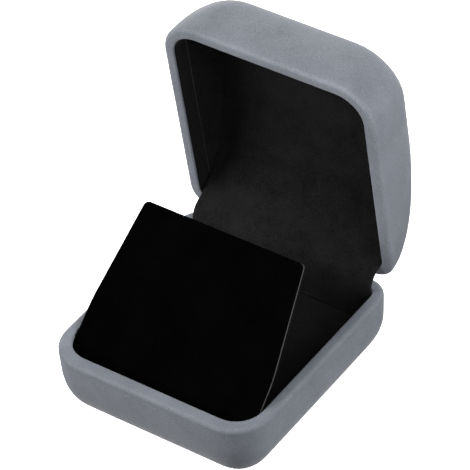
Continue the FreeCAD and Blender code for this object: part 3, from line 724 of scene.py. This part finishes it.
# %% Strip line
STRIP_HALF = 30.8
STRIP_THICKNESS = 0.5
STRIP_BEND = 5.8
STRIP_REACH = 11.0
STRIP_SEAT = 0.35
REACH_STEPS = 6
ARC_STEPS = 12
TUCK_START = 8.0
TUCK_DEPTH = 1.1
LID_DEPTHS = [2, 3.5, 5, 6.5, 8, 9.5, 11, 12]


def seat_at(depth):
    """The strip's distance from the lining: its end is tucked in, so that no step shows."""
    tucked = max(depth - TUCK_START, 0) / (LID_DEPTHS[-1] - TUCK_START)
    return STRIP_SEAT + STRIP_THICKNESS - tucked * TUCK_DEPTH


points = [Vector((0, HINGE_Y - STRIP_BEND, HINGE_Z - STRIP_REACH * (1 - step / REACH_STEPS)))
          for step in range(REACH_STEPS)]
for step in range(ARC_STEPS + 1):
    turn = math.radians(180 - OPEN_ANGLE * step / ARC_STEPS)
    points.append(Vector((0, HINGE_Y + STRIP_BEND * math.cos(turn), HINGE_Z + STRIP_BEND * math.sin(turn))))
for depth in LID_DEPTHS:
    inner = lid_back(depth, 0, RIM_WIDTH + LINER_CARD) - seat_at(depth)
    points.append(lid_place(min(inner, -STRIP_BEND), LID["rim"] + depth))


# %% [markdown]
# ## The strip over the hinge
#
# The widened sheet is fitted to the room it has. Each point in the lid is looked at with the lid shut,
# and is pressed forward where the corner is. Points in the base are kept off the walls. The felt is
# painted lighter near the bend, as painted light, and the number for that fades out along the sheet. The
# piece crosses the hinge.

# %% Strip
STRIP_ROWS = 24
STRIP_CLEARANCE = 0.2
LID_FROM = 1
LIGHT_FADE = 8
LID_LIGHT_START = 3
BASE_LIGHT_START = 16

line = chain(points)
widen(line, STRIP_HALF, STRIP_ROWS)
# A number on each point paints the felt lighter near the bend, as painted light, fading out along the sheet.
painted_light = line.verts.layers.float.new("wear_and_light")
close_lid = Matrix.Rotation(math.radians(OPEN_ANGLE), 4, "X") @ Matrix.Translation((0, -HINGE_Y, -HINGE_Z))
for vert in line.verts:
    closed = close_lid @ vert.co
    if closed.z > LID["rim"] + LID_FROM:
        depth = closed.z - LID["rim"]
        reach = lid_back(depth, vert.co.x, RIM_WIDTH + LINER_CARD) - seat_at(depth)
        vert[painted_light] = min(max(1 - (depth - LID_LIGHT_START) / LIGHT_FADE, 0), 1)
        if closed.y > reach:
            closed.y = reach
            vert.co = close_lid.inverted() @ closed
    else:
        vert[painted_light] = min(max((vert.co.z - BASE_LIGHT_START) / LIGHT_FADE, 0), 1)
        if vert.co.z < BASE["rim"]:
            room = base_side(BASE["rim"] - vert.co.z, vert.co.y, RIM_WIDTH + STRIP_CLEARANCE)
            vert.co.x = min(max(vert.co.x, -room), room)
bmesh.ops.recalc_face_normals(line, faces=line.faces[:])
line.faces.ensure_lookup_table()
if line.faces[0].normal.y > 0:
    bmesh.ops.reverse_faces(line, faces=line.faces[:])
strip = to_object(line, "hinge_strip", TO_METRES)
strip.modifiers.new("rounding", "SUBSURF").levels = 1
strip.modifiers["rounding"].render_levels = 1
thicken(strip, STRIP_THICKNESS)
strip.data.materials.append(lining_felt)
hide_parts("hinge_lining_strip")
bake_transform(strip)


# %% [markdown]
# ## The snap spring
#
# Behind the strip a narrow flat spring crosses the hinge and holds the lid open or shut. It is made as
# the strip is.

# %% Spring
SPRING_HALF = 3.0
SPRING_THICKNESS = 0.3
SPRING_ROWS = 4
SPRING_BEND = 4.75
SPRING_STEPS = 8
SPRING_FOOT = [(-4.25, -7 * share) for share in (1, 0.8, 0.6, 0.4)] + [(-4.5, -1.4)]
SPRING_TOP = [(-5.1, 1.35), (-5.68, 2.56), (-6.2, 3.76)]

spring_points = [Vector((0, HINGE_Y + y, HINGE_Z + z)) for y, z in SPRING_FOOT]
for step in range(SPRING_STEPS + 1):
    turn = math.radians(180 - OPEN_ANGLE * step / SPRING_STEPS)
    spring_points.append(Vector((0, HINGE_Y + SPRING_BEND * math.cos(turn),
                                 HINGE_Z + SPRING_BEND * math.sin(turn))))
spring_points += [lid_place(y, z) for y, z in SPRING_TOP]
spring_line = chain(spring_points)
widen(spring_line, SPRING_HALF, SPRING_ROWS)
bmesh.ops.recalc_face_normals(spring_line, faces=spring_line.faces[:])
spring = thicken(to_object(spring_line, "flat_spring", TO_METRES), SPRING_THICKNESS)
spring.data.materials.append(steel)
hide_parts("snap_spring")
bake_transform(spring)


# %% [markdown]
# ## The velvet on the display card
#
# The card that carries the jewellery is grey board with deep black velvet on its face. The velvet is a
# thin slab with a soft edge: the outline gets its corners from the bevel operator, is extruded to the
# thickness of the cloth, and its upper edge is bevelled again. The board is the drawings' own solid,
# whose cut edge stays bare.

# %% Card velvet
CARD_ANGLE = math.radians(42.65)
CARD_FOLD = Vector((0, -31.84, 15.25))
CARD_HALF = 31.0
CARD_TOP_HALF = 26.65
CARD_START = 0.4
CARD_STRAIGHT = 19.0
CARD_END = 51.8
CARD_CORNERS = {"low": 7.5, "top": 1.5, "side": 4.0}
CARD_CORNER_STEPS = 8
BOARD = 0.6
CARD_PILE = 0.65
PILE_ROUND = 0.3

pile = bmesh.new()
outline = [(-CARD_HALF, CARD_START), (CARD_HALF, CARD_START), (CARD_HALF, CARD_STRAIGHT),
           (CARD_TOP_HALF, CARD_END), (-CARD_TOP_HALF, CARD_END), (-CARD_HALF, CARD_STRAIGHT)]
corners = [pile.verts.new((x, y, BOARD / 2)) for x, y in outline]
pile.faces.new(corners)
places = {"low": corners[:2], "top": corners[3:5], "side": [corners[2], corners[5]]}
for place, radius in CARD_CORNERS.items():
    bmesh.ops.bevel(pile, geom=places[place], offset=radius, offset_type="OFFSET", affect="VERTICES",
                    segments=CARD_CORNER_STEPS, profile=0.5, material=-1)
raised = bmesh.ops.extrude_face_region(pile, geom=pile.faces[:])["geom"]
bmesh.ops.translate(pile, verts=[item for item in raised if isinstance(item, bmesh.types.BMVert)],
                    vec=(0, 0, CARD_PILE))
bmesh.ops.recalc_face_normals(pile, faces=pile.faces[:])
rim = [edge for edge in pile.edges if all(vert.co.z > (BOARD + CARD_PILE) / 2 for vert in edge.verts)]
bmesh.ops.bevel(pile, geom=rim, offset=PILE_ROUND, offset_type="OFFSET", affect="EDGES", segments=3,
                profile=0.5, material=-1)
raise_card = TO_METRES @ Matrix.Translation(CARD_FOLD) @ Matrix.Rotation(CARD_ANGLE, 4, "X")
card_cloth = to_object(pile, "card_velvet_face", raise_card)
card_cloth.data.shade_flat()
card_cloth.data.materials.append(black_velvet)
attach(card_cloth, "card")
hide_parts("card_velvet")


# %% [markdown]
# ## The pad under the box
#
# The cloth is closed underneath by a flat pad, which is all that the box stands on. A cube is stretched
# to the pad's own box, which is read from its solid, in metres. One bevel rounds its corners, and a
# second softens the edge that meets the table.

# %% Underside pad
PAD_CORNER = 5.85 * MM
PAD_EDGE = 0.15 * MM
SAME_HEIGHT = 1e-5

pad_low, pad_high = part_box("base_underside_pad")
pad = bmesh.new()
bmesh.ops.create_cube(pad, size=1)
bmesh.ops.scale(pad, vec=[high - low for low, high in zip(pad_low, pad_high)], verts=pad.verts[:])
bmesh.ops.translate(pad, vec=[(high + low) / 2 for low, high in zip(pad_low, pad_high)], verts=pad.verts[:])
upright = [edge for edge in pad.edges if abs(edge.verts[0].co.z - edge.verts[1].co.z) > SAME_HEIGHT]
bmesh.ops.bevel(pad, geom=upright, offset=PAD_CORNER, offset_type="OFFSET", affect="EDGES", segments=8,
                profile=0.5, material=-1)
low_edges = [edge for edge in pad.edges if all(vert.co.z < pad_low[2] + SAME_HEIGHT for vert in edge.verts)]
bmesh.ops.bevel(pad, geom=low_edges, offset=PAD_EDGE, offset_type="OFFSET", affect="EDGES", segments=2,
                profile=0.5, material=-1)
pad_cover = to_object(pad, "underside_pad_cover", Matrix.Identity(4))
pad_cover.data.shade_flat()
pad_cover.data.materials.append(grey_velvet)
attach(pad_cover, "base")
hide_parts("base_underside_pad")


# %% [markdown]
# ## Finishes for the drawings' own pieces
#
# The rigid pieces keep their solids: the hinge, its rivets, the cards and the leg behind the display
# card. Each gets the finish of its material.

# %% Node finishes
NODE_FINISHES = {
    black_flock: ["base_floor_card"],
    steel: ["base_hinge_leaf", "lid_hinge_leaf", "hinge_pin", "base_hinge_rivets", "lid_hinge_rivets"],
    grey_board: ["card_board", "card_front_flap", "prop_leg"],
    black_velvet: ["card_crease"],
    black_paper: ["card_back_paper", "prop_crease"],
}
for material, names in NODE_FINISHES.items():
    for name in names:
        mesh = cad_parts[name].data
        mesh.materials.clear()
        mesh.materials.append(material)
print("nodes with a finish:", sum(len(names) for names in NODE_FINISHES.values()))


# %% [markdown]
# ## The sweep
#
# The box stands on a plain white sweep, a floor that curves up into a wall all round, so that every view
# has the same pale ground. It is a profile spun once about the upright axis, in metres. The sweep glows
# a little, as paper does under studio lamps, but its glow is kept off the box.

# %% Sweep
SWEEP_FLOOR = 2.6
SWEEP_CURVE = 0.8
SWEEP_TOP = 3.0
SWEEP_GLOW = 0.8
CURVE_STEPS = 8
SPIN_STEPS = 48

profile = [Vector((0, 0, 0)), Vector((SWEEP_FLOOR, 0, 0))]
for step in range(1, CURVE_STEPS + 1):
    turn = math.radians(90 * step / CURVE_STEPS)
    profile.append(Vector((SWEEP_FLOOR + SWEEP_CURVE * math.sin(turn), 0, SWEEP_CURVE * (1 - math.cos(turn)))))
profile.append(Vector((SWEEP_FLOOR + SWEEP_CURVE, 0, SWEEP_TOP)))
sweep_form = chain(profile)
bmesh.ops.spin(sweep_form, geom=sweep_form.verts[:] + sweep_form.edges[:], cent=(0, 0, 0), axis=(0, 0, 1),
               angle=2 * math.pi, steps=SPIN_STEPS, use_merge=True)
bmesh.ops.remove_doubles(sweep_form, verts=sweep_form.verts[:], dist=1e-5)
sweep = to_object(sweep_form, "sweep", Matrix.Identity(4))
white = finish("sweep_white", light=(0.93, 0.93, 0.93), dark=(0.9, 0.9, 0.9), grain=20, drift=2, bump=0.0,
               roughness=0.9)
white_shader = white.node_tree.nodes["Principled BSDF"]
white_shader.inputs["Emission Color"].default_value = (1, 1, 1, 1)
white_shader.inputs["Emission Strength"].default_value = SWEEP_GLOW
sweep.data.materials.append(white)
sweep.visible_diffuse = False


# %% [markdown]
# ## Lamps
#
# The key comes from the left in front, a weaker light fills from the right, and a third one reaches the
# back of the lid. They stand near the box, so that the light falls off from the lid to the base as in
# the picture. Each row gives a name, a place and a side in metres, a power in watts and a tint.

# %% Lamps
LAMPS = [
    ("key", (-0.46, -0.42, 0.36), 0.42, 7.8, (1.0, 1.0, 1.0)),
    ("fill", (0.3, -0.02, 0.25), 0.36, 2.25, (0.99, 1.0, 1.02)),
    ("back", (-0.3, 0.75, 0.18), 0.5, 10.0, (1.0, 1.0, 1.0)),
]
for name, place, side_length, power, tint in LAMPS:
    lamp = bpy.data.lights.new(name, "AREA")
    lamp.color = tint
    lamp.shape = "SQUARE"
    lamp.size = side_length
    lamp.energy = power
    lamp_object = bpy.data.objects.new(name, lamp)
    bpy.context.scene.collection.objects.link(lamp_object)
    lamp_object.location = place
    aim = LOOK_AT - Vector(place)
    lamp_object.rotation_euler = aim.to_track_quat("-Z", "Y").to_euler()
print("lamps:", len(LAMPS))


# %% [markdown]
# ## A dim sky
#
# A soft sky fills what shade the lamps leave. It is brighter overhead than at the ground: the height of
# each direction is read, and a map range turns it into a strength.

# %% Sky
SKY_HEIGHTS = (-0.2, 0.3)
SKY_STRENGTHS = (0.12, 1.5)

world = bpy.data.worlds.new("surroundings")
world.use_nodes = True
world_nodes, world_links = world.node_tree.nodes, world.node_tree.links
direction = world_nodes.new("ShaderNodeTexCoord")
height = world_nodes.new("ShaderNodeSeparateXYZ")
above = world_nodes.new("ShaderNodeMapRange")
above.inputs["From Min"].default_value = SKY_HEIGHTS[0]
above.inputs["From Max"].default_value = SKY_HEIGHTS[1]
above.inputs["To Min"].default_value = SKY_STRENGTHS[0]
above.inputs["To Max"].default_value = SKY_STRENGTHS[1]
world_links.new(direction.outputs["Generated"], height.inputs["Vector"])
world_links.new(height.outputs["Z"], above.inputs["Value"])
world_links.new(above.outputs["Result"], world_nodes["Background"].inputs["Strength"])
bpy.context.scene.world = world
bpy.context.scene.view_settings.view_transform = "Standard"
print("sky from %.2f to %.2f" % SKY_STRENGTHS)
